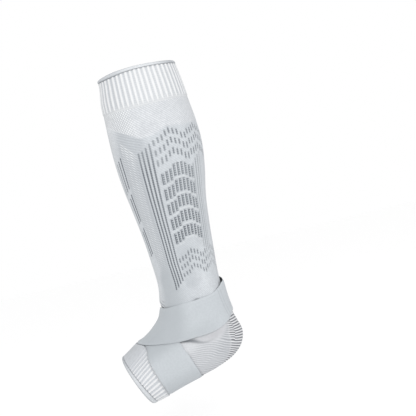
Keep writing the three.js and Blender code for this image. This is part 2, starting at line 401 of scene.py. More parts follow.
def roll_grid(name, columns, rows, place, closed_rows=True):
    """Makes a grid, asks place() where each of its points goes, and welds the sides that meet."""
    shape = bmesh.new()
    shape.loops.layers.uv.new("knit")
    bmesh.ops.create_grid(shape, x_segments=columns, y_segments=rows, size=0.5, calc_uvs=True)
    flat = np.array([corner.co[:2] for corner in shape.verts]) + 0.5
    column = np.rint(flat[:, 0] * columns).astype(int) % columns
    row = np.rint(flat[:, 1] * rows).astype(int)
    if closed_rows:
        row %= rows
    points, marks = place(column, row)
    layers = {mark: shape.verts.layers.float.new(mark) for mark in marks}
    for corner, point in zip(shape.verts, points):
        corner.co = point
    for mark, layer in layers.items():
        for corner, value in zip(shape.verts, marks[mark]):
            corner[layer] = value
    bmesh.ops.remove_doubles(shape, verts=shape.verts, dist=1e-6)
    open_edges = [edge for edge in shape.edges if edge.is_boundary]
    if open_edges:
        bmesh.ops.holes_fill(shape, edges=open_edges, sides=0)
    bmesh.ops.recalc_face_normals(shape, faces=shape.faces)
    for face in shape.faces:
        face.smooth = True
    for edge in shape.edges:
        edge.smooth = edge.calc_face_angle(0) < RIM_ANGLE
    return keep_piece(name, shape)


def keep_piece(name, shape):
    """Turns a finished bmesh into an object of the scene."""
    triangles = sum(len(face.verts) - 2 for face in shape.faces)
    mesh = bpy.data.meshes.new(name)
    shape.to_mesh(mesh)
    shape.free()
    piece = bpy.data.objects.new(name, mesh)
    bpy.context.scene.collection.objects.link(piece)
    print(name, "has", triangles, "triangles")
    return piece


def roll_wall(name, columns, outer_rows, inner_rows, form):
    """Rolls a knitted wall. Its form gets angles, shares of the way down, and 1 outside or 0 inside."""
    share = np.concatenate([np.linspace(0, 1, outer_rows), np.linspace(1, 0, inner_rows)])
    outside = np.concatenate([np.ones(outer_rows), np.zeros(inner_rows)])

    def place(column, row):
        wale_angle = -180 + 360 * column / columns
        station, angle, height, marks = form(wale_angle, share[row], outside[row])
        return skin(station, angle, height - WALL * (1 - outside[row])), marks
    return roll_grid(name, columns, len(share), place)


print("rolling tool ready")

# %% [markdown]
# ## The calf's openwork pattern
#
# The calf carries columns of dropped stitches, which show as dark ladders: four long lines towards the
# shin, five arched blocks over the side, and waves of short dashes above and below them. All of them sit
# on one grid of 68 columns round the leg, so short tables of where each ladder starts and ends are
# enough, and the far side mirrors the near one. Places along the leg are in sections, as in the table.

# %% Tables of the ladders
# Columns round the leg, the first one's angle, and the shift of the wide ones as a share of a column
LADDER_COLUMNS = 68
LADDER_PITCH = 360 / LADDER_COLUMNS
FIRST_COLUMN = 89.0
BLOCK_SHIFT = 0.5
DASH_OPEN = 0.8

# A ladder's place within its arch or wave, column by column, from the first column
ARCH = (0, -0.055, -0.11, -0.25, -0.28, -0.28, -0.23, -0.11, -0.03)
ARCH_END = (0.013, -0.032, -0.078, -0.2, -0.206, -0.217, -0.168, -0.061, -0.018)
WAVE = (0, -0.08, -0.15, -0.31, -0.40, -0.33, -0.27, -0.11, -0.08, -0.22, -0.25, -0.34, -0.43, -0.33, -0.27,
        -0.11, -0.08)

# Blocks: their start and end, how far the arch swings, and how open they are
BLOCKS = ((4.96, 5.36, 1.1, 0.88), (5.54, 5.93, 1.0, 0.93), (6.08, 6.45, 0.9, 0.97), (6.6, 6.98, 0.83, 1.03),
          (7.12, 7.49, 0.78, 1.06))

# Waves: their start, a dash's length, how far they swing, and how open the first and last dashes are
WAVES = ((3.59, 0.25, 1.0, 0.6, 0.8), (4.01, 0.25, 1.0, 0.6, 0.8), (4.43, 0.26, 0.95, 0.6, 0.8),
         (8.04, 0.18, 0.74, 0.75, 0.55), (8.35, 0.18, 0.86, 0.75, 0.55), (8.68, 0.17, 0.88, 0.75, 0.55))

# Single lines: their column, start and end, and how open they are
LINES = ((-1, 3.69, 9.01, 0.9), (-2, 3.82, 9.14, 1.0), (-3, 3.93, 9.31, 1.0), (-4, 3.97, 9.43, 1.0),
         (-10, 3.93, 5.2, 1.05), (-11, 4.05, 5.3, 0.9), (-12, 4.15, 5.4, 0.6), (-10, 5.42, 6.42, 1.4),
         (-11, 5.55, 6.5, 1.2), (-10, 6.66, 7.66, 1.5), (-11, 6.8, 7.75, 1.2), (9, 4.81, 7.8, 0.4),
         (10, 4.62, 7.85, 0.55), (11, 4.5, 7.9, 0.5), (12, 4.4, 7.95, 0.3))


def ladder_table():
    """Every ladder as its column, start, end, how open it is, and 1 if it is one of the wide blocks."""
    ladders = [line + (0,) for line in LINES]
    for start, end, swing, strength in BLOCKS:
        ladders += [(column, start + rise * swing, end + fall, strength, 1)
                    for column, (rise, fall) in enumerate(zip(ARCH, ARCH_END))]
    for start, length, swing, first, last in WAVES:
        for column, rise in enumerate(WAVE):
            strength = float(np.interp(column, (0, 4, 9, 10), (first, DASH_OPEN, DASH_OPEN, last)))
            ladders.append((column, start + rise * swing, start + rise * swing + length, strength, 0))
    return ladders


LADDERS = ladder_table()
print(len(LADDERS), "ladders on each side")

# %% Openwork and the ridges below it
# Lines longer than this, in sections, start faintly
LONG_LINE = 4


def openwork(station, wale_angle):
    """How open the knit is, from 0 to 1, where its ladders are wide, and how deep they lie in mm."""
    count = (np.abs(wale_angle) - FIRST_COLUMN) / LADDER_PITCH
    opened, wide, depth = np.zeros((3, len(station)))
    for column, start, end, strength, is_wide in LADDERS:
        beside = np.abs(count - column - BLOCK_SHIFT * is_wide)
        here = np.minimum(ease(start - 0.02, start + 0.02, station),
                          ease(end + 0.02, end - 0.02, station))
        if end - start > LONG_LINE:
            here = here * (0.68 + 0.32 * ease(start, start + 1.0, station))
        here = np.where(beside < 0.5, here * strength, 0)
        hollow = 0.75 * ease(0.42, 0.2, beside) if is_wide else 0.6 * ease(0.32, 0.05, beside)
        wide = np.where(here > opened, is_wide, wide)
        depth = np.maximum(depth, here * hollow)
        opened = np.maximum(opened, here)
    return opened, wide, depth


def arch_ridges(station, wale_angle):
    """Raised rows of tighter stitches that run below the arched blocks."""
    count = (np.abs(wale_angle) - FIRST_COLUMN) / LADDER_PITCH - BLOCK_SHIFT
    fall = np.interp(count, range(len(ARCH_END)), ARCH_END)
    width = hump(count, -1.0, -0.4, 8.4, 9.0) * (0.5 + 0.5 * ease(0, 3, count))
    return sum(bell(station, block[1] + 0.06 + fall, 0.034) for block in BLOCKS) * width


print(len(BLOCKS), "ridges below the blocks")

# %% How the knit leans and folds over the leg
# Degrees by which the columns lean with the muscle under them: at the shin, at the side and behind
SHIN_LEAN = ((4.7, 0), (5.0, -0.8), (5.6, -2.8), (6.2, -3.8), (6.8, -4.8), (7.4, -4.1), (9.2, 0))
SIDE_LEAN = ((3.9, 0), (4.7, -0.5), (5.6, -1.0), (6.15, -1.4), (6.7, -2.4), (7.8, -3.2), (8.2, -3.2),
             (9.2, -0.3))
CALF_LEAN = ((4.3, -0.4), (5.1, 0.2), (5.6, 1.5), (6.15, 2.8), (6.7, 2.9), (7.2, 1.3), (7.8, -1),
             (8.6, -1.2), (9.3, 0))


def wale_drift(station, angle):
    """How far the columns lean at a place. Over the shin they are also spread apart."""
    side = np.abs(angle)
    shin, beside, calf = (look_up(lean, station) for lean in (SHIN_LEAN, SIDE_LEAN, CALF_LEAN))
    drift = shin + (beside - shin) * ease(42, 62, side)
    drift += (calf - drift) * ease(100, 132, side)
    drift += 0.32 * hump(station, 3.4, 4.1, 7.6, 8.2) * np.minimum(side - 36, 0)
    return np.sign(angle) * drift * hump(side, 0, 24, 150, 180)


def wrinkles(station, side):
    """Two short wrinkles that slant over the instep, from 0 to 1 at their deepest."""
    wave = 0.5 - 0.5 * np.cos(2 * np.pi * (station - 10.06 - 0.018 * (side - 15)) / 0.37)
    return hump(station, 10.05, 10.15, 10.78, 10.88) * ease(36, 28, side) * wave ** 3


def ankle_folds(station, angle):
    """The ankle bone, a soft fold beside it, and the knit that the strap pushes up over the instep."""
    side = np.abs(angle)
    bone = 1.5 * bell(station, 9.35, 0.45) * bell(side, 124, 15)
    fold = 0.7 * bell(station, 9.5, 0.4) * bell(side, 108, 2.6)
    pushed = hump(station, 9.5, 10.4, 10.65, 10.9) * ease(62, 25, side)
    return bone - fold + pushed - 0.8 * wrinkles(station, side)


def strap_fold_shade(station, angle):
    """Painted shade in the folds at the strap's upper edge: beside the ankle bone, at the tendon and over
    the instep.
    """
    side = np.abs(angle)
    beside = bell(side, 97, 5) * bell(station, 10.13 - 0.01 * (side - 97), 0.06)
    behind = 0.45 * bell(side, 158, 3) * hump(station, 9.28, 9.4, 9.5, 9.66)
    return np.max([beside, behind, 0.8 * wrinkles(station, side)], axis=0)


print("columns lean by", min(lean for station, lean in SHIN_LEAN), "degrees at the shin")

# %% Zones of the calf
# The angle and section where the smooth top ends, and where the twill panel starts
PLAIN_END = ((0, 2.45), (31, 2.65), (57.5, 3.05), (76, 3.41), (91.8, 3.36), (100, 3.23), (109, 3.10),
             (133, 3.20), (160, 3.07), (180, 3.1))
PANEL_TOP = ((38, 4.6), (41, 3.6), (44, 3.32), (61.5, 3.93), (65, 4.14), (67, 4.9))

# Painted light over the front of the shin, section by section, against the shade where the leg turns away
PAINTED_FRONT_LIGHT = ((2.6, 0.62), (4.2, 0.2), (7.4, 0.1), (8.3, 0.2), (10, 0.25))


def leg_zones(station, wale_angle):
    """Marks the smooth top, the lined band, the twill panel, painted shade on the shin and painted light in
    front.
    """
    side = np.abs(wale_angle)
    plain_end = look_up(PLAIN_END, side)
    plain = ease(plain_end + 0.06, plain_end - 0.05, station)
    panel_top = look_up(PANEL_TOP, side)
    panel = hump(station, panel_top - 0.04, panel_top + 0.04, 7.9, 8.9) * hump(side, 40, 43, 62.5, 66)
    border = bell(side, 41, 1.7) * hump(station, 3.3, 3.6, 6.4, 7.2)
    border += bell(side, 63.8, 2.6) * hump(station, 3.9, 4.4, 7.8, 8.6)
    upper = ease(86, 72, side) * ease(4.9, 3.7, station)
    lined = (1 - plain) * (1 - panel) * upper * (0.2 + 0.8 * ease(30, 46, side))
    # Painted shade on the lower shin side and below the ends of the lower waves
    shin_shade_start = np.interp(station, (8.0, 8.9), (54, 33))
    shin_shade_end = 88 + 10 * ease(8.8, 9.6, station)
    dense = hump(side, shin_shade_start - 9, shin_shade_start + 7, 60, shin_shade_end)
    # Painted light at the front of the shin, and a painted highlight on the ankle bone
    wider = 12 * ease(3.2, 2.6, station)
    front = ease(50 + wider, 18 + wider / 2, side) * look_up(PAINTED_FRONT_LIGHT, station)
    front += 0.18 * bell(station, 9.2, 0.5) * bell(side, 124, 16)
    lines = hump(side, 63, 67, 85.5, 88) * hump(station, 3.8, 4.2, 7.8, 8.6)
    blocks = hump(side, 82, 86, 134, 140) * hump(station, 4.75, 5.0, 7.45, 7.7)
    below_end = 118 + 22 * ease(8.2, 7.7, station)
    below = hump(side, 84, 90, 97, below_end) * hump(station, 7.45, 7.7, 9.2, 9.6)
    at_back = plain * ease(128, 150, side)
    return {"plain": plain, "panel": panel, "lined": lined, "border": border, "front": front,
            "dense": 0.95 * dense * ease(7.6, 8.8, station),
            "faded": panel * ease(0.15, 0.8, station - panel_top),
            # The crossing twill over the front of the smooth top, which also carries painted light there
            "crossed": plain * ease(82, 56, side),
            "worked": np.maximum(lines, blocks) + 2 * below + 0.5 * at_back}


print("zones:", ", ".join(leg_zones(np.array([3.0]), np.array([50.0]))))

# %% The calf's wall
RIDGE_HEIGHT = 0.55


def leg_form(wale_angle, share, outside):
    start = length_down(cuff_end(wale_angle))
    course = start + share * (length_down(LEG_BOTTOM) - start)
    all_stations = np.linspace(1.5, LEG_BOTTOM, 600)
    station = np.interp(course, length_down(all_stations), all_stations)
    opened, wide, depth = openwork(station, wale_angle)
    ridge = arch_ridges(station, wale_angle)
    angle = wale_angle + wale_drift(station, wale_angle)
    height = ankle_folds(station, angle) + outside * (RIDGE_HEIGHT * ridge - depth)
    marks = {"openwork": opened * outside, "wide": wide, "ridge": ridge, "course": course,
             "pinch": strap_fold_shade(station, angle)}
    return station, angle, height, marks | leg_zones(station, wale_angle)


leg_tube = roll_wall("leg_tube", 6 * LADDER_COLUMNS, 228, 8, leg_form)

# %% [markdown]
# ## The calf's knit
#
# Under the ladders lies a fine knit. Its stitches are about a millimetre wide, too small to model one by
# one, so they are waves in the material: V-shaped loops in rows, a diagonal twill, a second one that
# crosses it near the top, and lines where the band is denser. A ladder is a dark line with short rungs,
# like a comb, and a wide one has longer rungs. The marks that were kept on the mesh say where each of
# them belongs.

# %% The leg's patterns
# The height of a stitch and the distance between the rungs of a ladder, in mm
STITCH_HEIGHT = 1.1
RUNG_PITCH = 2.75
leg_knit, leg_shade = start_fabric("leg_knit")
round_leg = leg_shade.around()
course = leg_shade.mark("course")
loops = stitches(round_leg * (4 * LADDER_COLUMNS), course / STITCH_HEIGHT)
twill = (round_leg * 95 - course / 3.6).wave()
counter_twill = (round_leg * 84 + course / 4.2).wave()
level_lines = (round_leg * 44 - course / 3.45).wave()

column_count = (abs(round_leg * 360 - 180) - FIRST_COLUMN) / LADDER_PITCH
from_column = (column_count + 0.5).past_whole() - 0.5
from_block = (column_count - BLOCK_SHIFT + 0.5).past_whole() - 0.5
rungs = (course / RUNG_PITCH).wave().between(0.3, 0.75)
thin_line = (1 - abs(from_column).between(0.12, 0.27)) * 0.82
thin_ladder = thin_line.most((1 - abs(from_column).between(0.18, 0.31)) * rungs)
wide_line = (1 - abs(from_block + 0.2).between(0.08, 0.18)) * 0.9
wide_ladder = wide_line.most((1 - abs(from_block).between(0.25, 0.36)) * (rungs * 0.7 + 0.26))
ladder = thin_ladder + (wide_ladder - thin_ladder) * leg_shade.mark("wide")
ladder = ladder * leg_shade.mark("openwork")
print("leg patterns use", len(leg_shade.tree.nodes), "nodes")

# %% The leg's material
plain_mark = leg_shade.mark("plain")
panel_mark = leg_shade.mark("panel")
lined_mark = leg_shade.mark("lined")
crossed_and_lit_mark = leg_shade.mark("crossed")
twill_share = 0.3 + plain_mark * 0.12 + panel_mark * 0.5 - lined_mark * 0.15 + crossed_and_lit_mark * 0.12
knit_colour = leg_shade.coats(
    tint(199, 203, 207),
    (plain_mark, (214, 216, 219)),
    (lined_mark, (189, 193, 197)),
    (panel_mark, (236, 238, 240)),
    (leg_shade.mark("faded") * 0.45, (190, 194, 198)),
    (leg_shade.mark("worked") * 0.18, (158, 163, 168)),
    # Painted shade on the lower shin
    (leg_shade.mark("dense"), (173, 178, 182)),
    (leg_shade.mark("border") * 0.6, (166, 170, 175)),
    # Painted light at the front of the shin and a painted highlight on the ankle bone
    (leg_shade.mark("front"), (236, 238, 240)),
    # Painted light over the front of the smooth top
    (crossed_and_lit_mark * 0.8, (250, 251, 252)),
    (twill * twill_share, (152, 157, 162)),
    (crossed_and_lit_mark * counter_twill * 0.6, (146, 151, 156)),
    (level_lines * (lined_mark * 0.45 + panel_mark * 0.55), (146, 151, 156)),
    (leg_shade.mark("ridge") * 0.5, (208, 211, 213)),
    (leg_shade.grain() * 0.3, (166, 170, 174)),
    (leg_shade.cloud(0.016).between(0.35, 0.7) * 0.16, (162, 166, 171)),
    (ladder, (101, 106, 112)),
    # Painted shade in the folds at the strap's upper edge
    (leg_shade.mark("pinch") * 0.75, (96, 100, 106)),
)
relief = loops * 0.4 + twill * 0.4 + level_lines * (lined_mark + panel_mark) * 0.5 - ladder * 0.8
finish_fabric(leg_knit, leg_shade, knit_colour, relief, 0.00025, leg_tube)

# %% [markdown]
# ## Ribbed cuffs
#
# Both cuffs are a rib knit: rounded white ribs with grey valleys between them. Each rib narrows to a
# point where it runs into the plain knit. The same rolled grid gets a wave round the leg, and the crest of
# that wave is kept as a mark for the colour.

# %% The cuff at the calf
RIB_HEIGHT = 1.0

# The angle of a few ribs on each side and their numbers: the knit is stretched more over the shin
CUFF_RIBS = ((0, -3.5), (30.5, 0), (56.5, 3), (77.5, 6), (96.5, 9), (117, 12), (140, 15), (155, 17),
             (180, 20.4))

# Where the welt over the cuff is sewn down: it dips over the shin
WELT_SEAM = ((0, 0.25), (15, 0.28), (25, 0.3), (40, 0.32), (60, 0.3), (75, 0.25), (90, 0.22), (120, 0.21),
             (140, 0.2), (160, 0.17), (180, 0.16))

# Painted shade in the valleys between the ribs, by angle round the leg
CUFF_SHADE = ((0, 0.1), (25, 0.4), (50, 0.5), (70, 0.25), (90, 0), (120, 0), (140, 0.3), (160, 0.8),
              (180, 1))


def cuff_top(angle):
    return look_up(WELT_SEAM, np.abs(angle))


def rib_crest(turn, places, strength):
    """The height of a rib, from 0 to 1. With less strength the rib gets narrower as well as lower."""
    wave = 0.5 + 0.5 * np.cos(2 * np.pi * look_up(places, np.abs(turn)))
    return wave ** (1.1 + 4 * (1 - strength)) * ease(0, 0.35, strength)


def cuff_form(angle, share, outside):
    top, bottom = cuff_top(angle), cuff_end(angle)
    station = top + share * (bottom - top)
    strength = ease(bottom + 0.02, bottom - 0.4, station)
    crest = rib_crest(angle, CUFF_RIBS, strength) * outside
    shaded = look_up(CUFF_SHADE, np.abs(angle))
    # Painted shade in the valleys: turned, and part of strength, follow the table above
    marks = {"crest": crest, "course": length_down(station), "turned": strength * shaded,
             "strength": strength * (0.55 + 0.45 * np.minimum(2 * shaded, 1)),
             # Painted shadow in the valleys just under the welt
             "sewn": 0.6 * ease(top + 0.09, top, station)}
    return station, angle, RIB_HEIGHT * crest, marks


rib_band = roll_wall("rib_band", 520, 44, 4, cuff_form)

# %% The rib material, for both cuffs
rib_knit, rib_shade = start_fabric("rib_knit")
rib_course = rib_shade.mark("course")
rib_mark = rib_shade.mark("crest")
rib_loops = stitches(rib_shade.around() * 208, rib_course / STITCH_HEIGHT)
purl_dots = (rib_course / RUNG_PITCH).wave()
rib_colour = rib_shade.coats(
    tint(206, 208, 210),
    # The valleys' grey, with part of the painted shade
    (rib_shade.mark("strength"), (194, 197, 201)),
    ((1 - rib_mark) * purl_dots * 0.25, (160, 164, 168)),
    # Painted shade in the valleys
    (rib_shade.mark("turned") * 0.4, (156, 160, 165)),
    (rib_mark.between(0.1, 0.9), (222, 223, 224)),
    (rib_shade.grain() * 0.12, (180, 183, 187)),
    # Painted shadow in the valleys under the welt's edge and the strap's edge
    (rib_shade.mark("sewn") * (1 - rib_mark.between(0.2, 0.8)) * 0.6, (138, 142, 148)),
)
finish_fabric(rib_knit, rib_shade, rib_colour, rib_loops, 0.00015, rib_band)

# %% [markdown]
# ## Rolled welts
#
# The top opening and the toe opening end in a welt, a strip of knit that is rolled over and sewn down. Its
# profile is a soft rounded bar, so the grid is rolled round that profile and then round the opening.

# %% Both welts
WELT_SIDES = 20

# Where the top welt starts, then the painted shade on each welt's face and the painted shadow under its
# lower edge, by angle
WELT_TOP = ((0, 0.1), (15, 0.12), (40, 0.1), (60, 0.06), (90, 0.035), (120, 0.035), (140, 0.02), (160, 0))
TOP_WELT_SHADE = ((0, 0.45), (20, 0.5), (60, 0.4), (85, 0.05), (120, 0.1), (138, 0.5), (152, 0.85), (180, 0.75))
TOE_WELT_SHADE = ((0, 0.75), (35, 0.7), (60, 0.4), (85, 0.15), (180, 0.25))
TOP_FOLD_SHADE = ((0, 0.3), (22, 0.8), (45, 1.0), (65, 0.8), (85, 0.25), (110, 0.08), (180, 0.2))
TOE_FOLD_SHADE = ((0, 0.5), (180, 0.6))


def welt_top(angle):
    return look_up(WELT_TOP, np.abs(angle))


def welt_bottom(angle):
    return cuff_top(angle) - 0.012


def toe_seam(angle):
    return toe_end(angle) + 0.02


def toe_rim(angle):
    return np.full(len(angle), float(TOE_RIM))


def roll_welt(name, columns, upper, lower, face_shades, folds):
    """Rolls a welt between two edges. A fine cord runs across its face in every fourth column."""
    def place(column, row):
        angle = -180 + 360 * column / columns
        side = np.abs(angle)
        top, bottom = upper(angle), lower(angle)
        turn = 2 * np.pi * row / WELT_SIDES
        outward = np.clip(np.sin(turn), 0, 1)
        share = 0.5 - 0.5 * rounded(np.cos(turn), 0.8)
        cord = 0.12 * np.cos(2 * np.pi * column / 4) * outward
        height = -0.6 + 1.6 * rounded(np.sin(turn), 0.8) + cord
        # The marks carry painted shade on the face and a painted shadow under the lower edge
        marks = {"course": 14 * row / WELT_SIDES, "outward": outward, "tone": look_up(face_shades, side),
                 "fold": look_up(folds, side) * ease(0.55, 0.95, share)}
        return skin(top + (bottom - top) * share, angle, height), marks
    return roll_grid(name, columns, WELT_SIDES, place)


top_roll = roll_welt("top_roll", 640, welt_top, welt_bottom, TOP_WELT_SHADE, TOP_FOLD_SHADE)
toe_roll = roll_welt("toe_roll", 480, toe_seam, toe_rim, TOE_WELT_SHADE, TOE_FOLD_SHADE)

# %% The welt material
welt_knit, welt_shade = start_fabric("welt_knit")
welt_loops = stitches(welt_shade.around() * 240, welt_shade.mark("course") / 1.2)
# Painted shade on the welt's face
welt_face = welt_shade.coats(tint(212, 215, 218), (welt_shade.mark("tone"), (162, 166, 171)))
# Painted shade on the edges where the welt curls under
welt_outward = welt_shade.mark("outward").between(0.2, 0.95)
welt_colour = welt_shade.coats(
    welt_shade.mix(welt_outward, tint(142, 146, 150), welt_face),
    # Painted shadow under the welt's lower edge
    (welt_shade.mark("fold") * 0.8, (140, 144, 149)),
    (welt_loops * 0.12, (222, 224, 226)),
    (welt_shade.grain() * 0.2, (170, 174, 178)),
)
finish_fabric(welt_knit, welt_shade, welt_colour, welt_loops, 0.00018, top_roll, toe_roll)

# %% [markdown]
# ## The heel
#
# The heel pocket is knitted with ribs that come back along the side of the foot and turn round the heel.
# Round the back they are dark and white stripes, and over the side they fade into fine pale ribs. Both
# come from one number, the count of ribs, which is kept on the mesh: its whole values are the dark lines.

# %% The heel's ribs
# By section: the angle where the stripes begin, how far they bend there, and their number at the back
STRIPE_EDGE = ((10.9, 150), (11.78, 144), (12.08, 135), (13.13, 128), (13.59, 132), (14.43, 138),
               (15.56, 154), (16.4, 172))
STRIPE_BEND = ((11.6, 0.36), (12.3, 0.34), (12.7, 0.34), (13.1, 0.29), (13.6, 0.17), (14.6, 0))
STRIPE_COUNT = ((10.5, -5), (11.58, 0), (12.62, 5), (14.45, 13), (15.3, 17.8), (15.9, 21.4), (17.6, 32))
SEAM_ANGLE = 141
RIB_BLEND = 1.6


def toe_top(angle):
    return 17.2 - 0.4 * np.cos(np.radians(angle))


def heel_count(station, angle):
    """Counts ribs: they hang like a smile round the back, and bend over the side to run along the foot."""
    side = np.abs(angle)
    from_seam = np.clip((-np.cos(np.radians(side)) - 0.743) / 0.257, 0, 1)
    bend = look_up(STRIPE_BEND, station) * (1 - from_seam ** 1.3)
    behind = look_up(STRIPE_COUNT, station + 0.0042 * (180 - side) - bend)
    slope = 0.045 + 0.06 * ease(14.0, 15.2, station)
    beside = 9.8 + 5.4 * (station - 13.6) - slope * (side - 112)
    before = 14.8 + 2.9 * (station - 14.5) + 0.2 * (side - 104)
    level = beside + (behind - beside) * ease(120, 138, side)
    return -RIB_BLEND * np.logaddexp(-level / RIB_BLEND, -before / RIB_BLEND)


def heel_tuck(station, angle):
    """The crease where the slack knit folds under itself below the strap, from 0 to 1, also used as painted
    shade.
    """
    side = np.abs(angle)
    width = np.interp(side, (78, 88, 96, 110), (0.15, 0.17, 0.15, 0.12))
    below = station - look_up(CREASE, side) - 0.3 * width
    wedge = 1 + 0.9 * hump(side, 78, 84, 87, 93)
    held = hump(side, 70, 77, 88, 112) * (1 - 0.25 * ease(85, 92, side))
    return held * bell(below, 0, np.where(below < 0, width * wedge, width))


print("ribs counted from", STRIPE_COUNT[0][1], "to", STRIPE_COUNT[-1][1])

# %% The heel's wall


def heel_form(angle, share, outside):
    station = LEG_BOTTOM + share * (toe_top(angle) - LEG_BOTTOM)
    side = np.abs(angle)
    count = heel_count(station, angle)
    edge = look_up(STRIPE_EDGE, station)
    stripe = ease(edge - 2.5, edge + 2.5, side) * ease(11.2, 11.5, station) * outside
    beside_seam = ease(SEAM_ANGLE + 0.6, SEAM_ANGLE - 0.6, side) * ease(13.9, 13.5, station)
    first_rib = 14.0 - 0.04 * (side - 105) - 0.05 * np.maximum(side - 114, 0)
    fine = ease(first_rib - 0.35, first_rib + 0.35, station) * ease(86, 100, side)
    near_stripes = ease(110, 124, side) * ease(15.6, 14.6, station)
    fine = fine * (0.9 + 0.4 * near_stripes) * (1 - stripe) * outside
    tuck = heel_tuck(station, angle) * outside
    groove = 0.5 + 0.5 * np.cos(2 * np.pi * count)
    height = -1.2 * tuck * ease(100, 88, side) - groove * (0.55 * stripe + 0.15 * fine)
    # slack and tuck also carry painted shade: on the slack below the strap and in its crease
    marks = {"ribs": count + 0.5 * beside_seam, "stripe": stripe, "fine": fine, "tuck": tuck,
             "course": length_down(station), "slack": puff(station, angle) / PUFF_HEIGHT}
    return station, angle, height, marks


heel_cup = roll_wall("heel_cup", 320, 196, 8, heel_form)

# %% The heel's material
heel_knit, heel_shade = start_fabric("heel_knit")
heel_ribs = heel_shade.mark("ribs").wave()
stripe_mark = heel_shade.mark("stripe")
fine_ribs = heel_shade.mark("fine") * heel_ribs
heel_loops = stitches(heel_shade.around() * 240, heel_shade.mark("course"))
heel_colour = heel_shade.coats(
    tint(200, 202, 205),
    (heel_loops * 0.15, (210, 211, 213)),
    (fine_ribs * 0.75, (150, 153, 158)),
    (heel_shade.grain() * 0.2, (166, 168, 172)),
    (stripe_mark, (212, 213, 215)),
    (stripe_mark * heel_ribs.between(0.3, 0.7), (116, 118, 123)),
    (heel_shade.cloud(0.015) * 0.1, (170, 173, 177)),
    # Painted shade on the slack below the strap
    (heel_shade.mark("slack") * 0.7, (172, 172, 176)),
    # Painted shade in the crease
    (heel_shade.mark("tuck") * 0.8, (92, 96, 102)),
)
heel_relief = heel_loops * 0.5 - fine_ribs * 0.6
finish_fabric(heel_knit, heel_shade, heel_colour, heel_relief, 0.0002, heel_cup)

# %% [markdown]
# ## The strap's table
#
# The strap is one elastic band, 50 mm wide. Its table follows it once from behind the ankle, down over
# the instep and under the sole: for each angle round the leg it gives the strap's upper and lower edge in
# sections, and how far the band stands off where it bridges the tendon or crosses itself. The way back is
# the mirror of the same table.

# %% The strap's path
# Columns: angle, upper and lower edge, then the bridge and the crossing at those two edges
STRAP_PASS = np.array([
    (180, 9.22, 11.27, 2.7, 0.6, 0, 0),
    (168, 9.26, 11.31, 3.0, 0.6, 0, 0),
    (154, 9.44, 11.54, 0.9, 0.4, 0, 0),
    (128, 9.86, 12.25, 0, 0, 0, 0),
    (105, 10.06, 13.05, 0, 0, 0, 0.2),
    (90, 10.2, 13.68, 0, 0, 0, 1.0),
    (76, 10.31, 14.6, 0, 0, 0, 2.1),
    (62, 10.45, 15.38, 0, 0, 0.3, 2.4),
    (48, 10.6, 16.18, 0, 0, 1.1, 2.3),
    (34, 10.72, 16.82, 0, 0, 1.9, 2.2),
    (18, 10.68, 17.36, 0, 0, 2.2, 2.2),
    (0, 10.8, 17.6, 0, 0, 2.2, 2.2),
    (-18, 11.4, 17.3, 0, 0, 2.2, 2.2),
    (-34, 12.3, 16.95, 0, 0, 2.2, 1.9),
    (-48, 13.15, 17.3, 0, 0, 2.3, 1.1),
    (-62, 13.9, 17.92, 0, 0, 2.4, 0.3),
    (-76, 14.66, 18.28, 0, 0, 2.1, 0),
    (-92, 15.69, 18.58, 0, 0, 0.6, 0),
    (-112, 16.4, 18.82, 0, 0, 0, 0),
    (-150, 17.01, 19.11, 0, 0, 0, 0),
    (-180, 17.1, 19.18, 0, 0, 0, 0),
])

# Rows of the table where the band turns back, starts and ends, then its layers in mm
LAST_ROW = len(STRAP_PASS) - 1
START_ROW = 4.0
END_ROW = 2.2
STRAP_GAP = 0.6
STRAP_THICKNESS = 1.4
PATCH_THICKNESS = 1.0
LAYER_GAP = 0.4


def strap_path(step):
    """The strap from start to end: its row, -1 where mirrored, 1 where it crosses itself, and its raise."""
    layers = STRAP_THICKNESS + PATCH_THICKNESS + 2 * LAYER_GAP
    first = np.linspace(START_ROW, 0, int(START_ROW / step) + 1)[:-1]
    outer = np.linspace(0, LAST_ROW, int(LAST_ROW / step) + 1)
    inner = np.linspace(LAST_ROW, END_ROW, int((LAST_ROW - END_ROW) / step) + 1)[1:]
    row = np.concatenate([first, outer, inner])
    crossing = np.concatenate([np.zeros(len(first)), np.ones(len(outer)), np.zeros(len(inner))])
    climb = layers * ease(-6.4, -4.6, -inner)
    raised = np.concatenate([np.zeros(len(first) + len(outer)), climb])
    return row, 2 * crossing - 1, crossing, raised


def band_point(path, share, extra):
    """Points of a band on that path. Share 0 is its upper edge and 1 its lower edge."""
    row, mirror, crossing, raised = path
    angle, upper, lower, bridge_upper, bridge_lower, cross_upper, cross_lower = np.moveaxis(
        smooth_rows(STRAP_PASS, row), -1, 0
    )
    station = upper + (lower - upper) * share
    bridge = bridge_upper + (bridge_lower - bridge_upper) * share
    cross = (cross_upper + (cross_lower - cross_upper) * share) * crossing
    return station, angle * mirror, STRAP_GAP + bridge + cross + raised + extra


STRAP_PATH = strap_path(0.1)
print("strap path has", len(STRAP_PATH[0]), "places")

# %% [markdown]
# ## Making the strap
#
# The band is a grid rolled round its own thin profile: across the face, round the hem, back across the
# under side. Elastic pulls tight, so both edges press down on the knit, and the upper one puckers where
# the ankle bone lifts it. The open ends of the roll are filled.

# %% The strap's profile
FACE_COLUMNS = 44
UNDER_COLUMNS = 14
STRAP_WIDTH = 50.0


